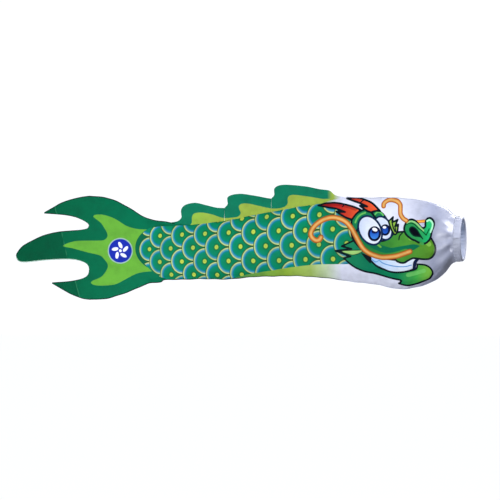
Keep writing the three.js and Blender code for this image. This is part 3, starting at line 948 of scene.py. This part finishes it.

# ---- Back fins ----
# A strip of doubled cloth with three lobes, its raw edge caught in the back seam. It is printed dark
# green with a lime root. It is laid out as three lobes, a hair apart, one for each fin's lean joint.
fin_crests = {
    "rear": [(-806, 43.5), (-788, 44.5), (-772, 46), (-761, 52), (-755.5, 62), (-757.5, 78),
             (-750, 89), (-736, 95), (-718, 97), (-690, 91), (-661, 84), (-640.6, 83)],
    "middle": [(-640, 83), (-631, 94), (-632, 110), (-620, 118), (-596, 121), (-558, 116), (-528, 110),
               (-513.6, 108)],
    "front": [(-513, 108), (-505, 118), (-505, 134), (-493, 143), (-471, 145), (-425, 141), (-382, 133),
              (-357, 129), (-341, 117), (-316, 112)],
}
fin_lime = shapes(fin_lime=[(-760, 20, 1), (-738, 34), (-729, 43), (-728, 60), (-722, 68.5), (-702, 71),
                            (-674, 66), (-647, 57), (-623, 57), (-604, 60), (-596, 69), (-600, 80),
                            (-601, 89), (-591, 95), (-571, 94), (-545, 88), (-516, 82), (-493, 82),
                            (-476, 87), (-469, 95), (-469, 107), (-465, 115), (-452, 118), (-426, 115),
                            (-393, 110), (-374, 107), (-350, 108), (-330, 112), (-310, 114, 1),
                            (-310, 20, 1)])

page = Print("fin_cloth", (14, 114, 86))
page.shape("fin_lime", page.fade(-0.74, -0.66).mix((138, 182, 68), crest_lime))
page.lay(page.fade(-0.362, -0.349), crest_lime)
page.lay(page.fade(-0.345, -0.325), white_satin)
fin_cloth = woven(page)
fin_thick = 1.2 * MM


def fin_places(crest):
    crest = edge_curve(crest)

    def place_of(along, across):
        top_x, top_z = crest(along)
        start, end = crest(0.0)[0], crest(1.0)[0]
        low_x = start + (end - start) * along
        low_z = section_at(low_x)[0] - 1.5 * MM
        x = low_x + (top_x - low_x) * rise(across, 0, 1)
        z = low_z + (top_z - low_z) * across
        wave = 3.2 * MM * np.sin(x / 0.0095 + 1.0) * np.clip(across, 0, 1) ** 1.5
        pucker = 0.8 * MM * np.sin(x / 0.0032) * np.exp(-((across - 0.15) / 0.2) ** 2) * rise(across, 0, 0.1)
        return x, fin_thick / 2 + wave + pucker, z, x, z
    return place_of


for name, crest in fin_crests.items():
    fin, x, z = cloth_sheet(f"{name}_fin_lobe", 40, 110, fin_places(crest), [fin_cloth], thick=fin_thick)
    draw(fin, x, z, fin_lime)
    lean = next(j for j in frame["joints"] if j["name"] == f"{name}_fin_lean")
    root, axis = Vector(lean["pos_m"]), Vector(lean["axis"])
    up = axis.cross(Vector((0, 1, 0))).normalized()
    up = up if up.z > 0 else -up
    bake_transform(fin)
    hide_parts(f"fin_{name}")

# ---- Mouth hem ----
# The white cloth folded forward over the hoop and stitched down behind it. The fold puckers
# where it is gathered on the wire, and a few cut threads stand out of it.
wire_radius = 2 * MM
hoop_radius = (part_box("mouth_hoop")[1].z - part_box("mouth_hoop")[0].z) / 2 - wire_radius
casing = mouth_radius - hoop_radius
hem_steps = 144
rim_steps = 12

bm = bmesh.new()
profile = [(hem_rear_x, hoop_radius + casing - 0.2 * MM)]
for i in range(rim_steps + 1):
    turn = math.pi / 2 - math.pi * i / rim_steps
    profile.append((casing * math.cos(turn), hoop_radius + casing * math.sin(turn)))
profile.append((hem_rear_x, hoop_radius - casing))
spots = []
for (x0, r0), (x1, r1) in zip(profile, profile[1:]):
    parts = 6 if abs(x1 - x0) > 5 * MM else 1
    spots += [(x0 + (x1 - x0) * k / parts, r0 + (r1 - r0) * k / parts) for k in range(parts)]
spots.append(profile[-1])
row = [bm.verts.new((x, 0, r)) for x, r in spots]
for a, b in zip(row, row[1:]):
    bm.edges.new((a, b))
bmesh.ops.spin(bm, geom=bm.verts[:] + bm.edges[:], cent=(0, 0, 0), axis=(1, 0, 0),
               angle=2 * math.pi, steps=hem_steps, use_merge=True)
for vertex in bm.verts:
    x, y, z = vertex.co
    angle = math.atan2(z, y)
    gather = math.sin(31 * angle + 1.5 * math.sin(5 * angle)) * 0.5 + math.sin(11 * angle) * 0.3
    behind = min(max((2 * MM - x) / (12 * MM), 0), 1) * min(1, (x - hem_rear_x) / (3 * MM) + 0.15)
    push = 1 + 1.5 * MM * gather * behind / math.hypot(y, z)
    vertex.co = (x, y * push, z * push)
bmesh.ops.recalc_face_normals(bm, faces=bm.faces)
hem = new_object("mouth_hem_fold", bm, shaded_hem_satin)
places = hem.data.attributes.new("print_place", "FLOAT_VECTOR", "POINT")
places.data.foreach_set("vector", [c for v in hem.data.vertices
                                   for c in (v.co.x, math.atan2(v.co.z, v.co.y) * hoop_radius, 0)])
hem.data.shade_smooth()
skin = hem.modifiers.new("cloth", "SOLIDIFY")
skin.thickness = cloth_thick
skin.offset = -1
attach(hem, "head")
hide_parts("mouth_hem")

# ---- Stitches of the hem ----
# One row of lock stitches round the back edge of the mouth hem, and a few threads that have
# frayed loose from the cut edge inside the rim.
stitch_length = 2.6 * MM
stitch_gap = 1.2 * MM
stitch_radius = 0.3 * MM
stitch_x = hem_rear_x + 3.2 * MM

thread_white, shader, tint = new_material("thread_white")
grain = tint.node("TexNoise", {}, {"Vector": tint.node("TexCoord", out=3), "Scale": 3000})
finish(shader, grain.mix((168, 172, 190), (214, 218, 232)), Roughness=0.6)

bm = bmesh.new()
stitch_count = round(2 * math.pi * mouth_radius / (stitch_length + stitch_gap))
for i in range(stitch_count):
    turn = Matrix.Rotation(2 * math.pi * i / stitch_count, 4, "X")
    seat = Matrix.Translation((stitch_x, 0, mouth_radius + 0.5 * MM)) @ Matrix.Rotation(math.pi / 2, 4, "X")
    bmesh.ops.create_cone(bm, cap_ends=True, segments=6, radius1=stitch_radius, radius2=stitch_radius,
                          depth=stitch_length, matrix=turn @ seat)
stitches = new_object("hem_stitches", bm, thread_white)
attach(stitches, "head")


def strand(bm, points, radius, sides=6):
    """A round strand along a line of points, closed at both ends."""
    ring = bmesh.ops.create_circle(bm, segments=sides, radius=1, cap_ends=True)["verts"]
    frames = []
    for i, point in enumerate(points):
        ahead = Vector(points[min(i + 1, len(points) - 1)]) - Vector(points[max(i - 1, 0)])
        frames.append(Matrix.Translation(point) @ ahead.to_track_quat("Z", "Y").to_matrix().to_4x4()
                      @ Matrix.Scale(radius, 4))
    bmesh.ops.transform(bm, matrix=frames[0], verts=ring)
    face = ring[0].link_faces[0]
    for before, after in zip(frames, frames[1:]):
        grown = bmesh.ops.extrude_face_region(bm, geom=[face])["geom"]
        bmesh.ops.delete(bm, geom=[face], context="FACES_ONLY")
        face = next(g for g in grown if isinstance(g, bmesh.types.BMFace))
        bmesh.ops.transform(bm, matrix=after @ before.inverted(), verts=face.verts[:])


# Where each loose thread stands round the rim, how far it reaches in mm, and how far it drifts.
thread_ends = [(-58, 14, 9), (-41, 20, -7), (-20, 12, 6), (12, 16, -9), (35, 10, 8), (118, 9, 6),
               (160, 12, -8)]
bm = bmesh.new()
for degrees, reach, drift in thread_ends:
    turn = math.radians(degrees)
    points = []
    for i in range(9):
        t = i / 8
        radius = hoop_radius + casing * (0.9 - 0.5 * t) - 2 * MM * t * t
        angle = turn + math.radians(drift) * t * t
        points.append((casing * 0.6 + reach * 0.35 * MM * math.sin(1.9 * t), radius * math.sin(angle),
                       radius * math.cos(angle)))
    strand(bm, points, 0.22 * MM, 5)
bmesh.ops.recalc_face_normals(bm, faces=bm.faces)
threads = new_object("loose_threads", bm, thread_white)
threads.data.shade_smooth()
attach(threads, "head")

# ---- Seams ----
# The panels are overlocked together along the belly and the back. The seam shows outside as a
# narrow rounded lip, dark along the body and white round the head, and as the edge of the tail.
seam_radius = 1.4 * MM
seam_step = 4 * MM

seam_thread, shader, tint = new_material("seam_thread")
place = tint.node("TexCoord", out=3)
x = tint.node("SeparateXYZ", {}, {0: place})
z = tint.node("SeparateXYZ", {}, {0: place}, out=2)
darkness = ((-0.30 - x) / 0.05).held()
stitching = (tint.maths("SINE", (x + z * 0.8) * 2400) * 0.5 + 0.5)
colour = darkness.mix((176, 182, 206), (3, 30, 22))
colour = (stitching * 0.35).mix(colour, darkness.mix((120, 126, 150), (2, 20, 16)))
finish(shader, colour, bump=stitching, Roughness=0.7, Specular_IOR_Level=0.1)

cut_edge, shader, tint = new_material("cut_edge")
fibres = tint.node("TexNoise", {}, {"Vector": tint.node("TexCoord", out=3), "Scale": 500, "Detail": 3})
finish(shader, fibres.mix((60, 140, 108), (206, 222, 216)), bump=fibres, Roughness=0.7,
       Specular_IOR_Level=0.1)


def seam_strip(name, points, radius, material):
    bm = bmesh.new()
    strand(bm, points, radius)
    bmesh.ops.recalc_face_normals(bm, faces=bm.faces)
    strip = new_object(name, bm, material)
    strip.data.shade_smooth()
    return strip


fin_rear_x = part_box("fin_rear")[0].x
fin_front_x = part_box("fin_front")[1].x
for name, cut in panels.items():
    for edge in ("back", "belly"):
        spots = np.linspace(cut["front"], cut["rear"], round((cut["front"] - cut["rear"]) / seam_step))
        if edge == "back" and name in ("shoulder", "flank"):
            continue
        if edge == "back" and name == "face":
            spots = spots[spots > fin_front_x]
        if edge == "back" and name == "rump":
            spots = spots[spots < fin_rear_x]
        back, belly, half, pinch = section_at(spots)
        if edge == "back":
            level = back + seam_wander(spots)
        else:
            level = -belly + seam_wander(spots) - belly_tuck(spots)
        points = [(x, y, z) for x, y, z in zip(spots, ripple(spots, level), level)]
        strip = seam_strip(f"{edge}_seam_{name}", points, seam_radius, seam_thread)
        follow(strip, cut["bend"])

for name, (top, bottom) in prong_edges.items():
    for edge, curve in (("upper", edge_curve(top)), ("lower", edge_curve(bottom))):
        x, z = curve(np.linspace(0, 1, 40))
        pale = (name, edge) == ("middle", "lower")
        strip = seam_strip(f"{name}_prong_{edge}_edge", list(zip(x, ripple(x, z), z)),
                           seam_radius * 0.9, cut_edge if pale else seam_thread)
        follow_prong(strip)
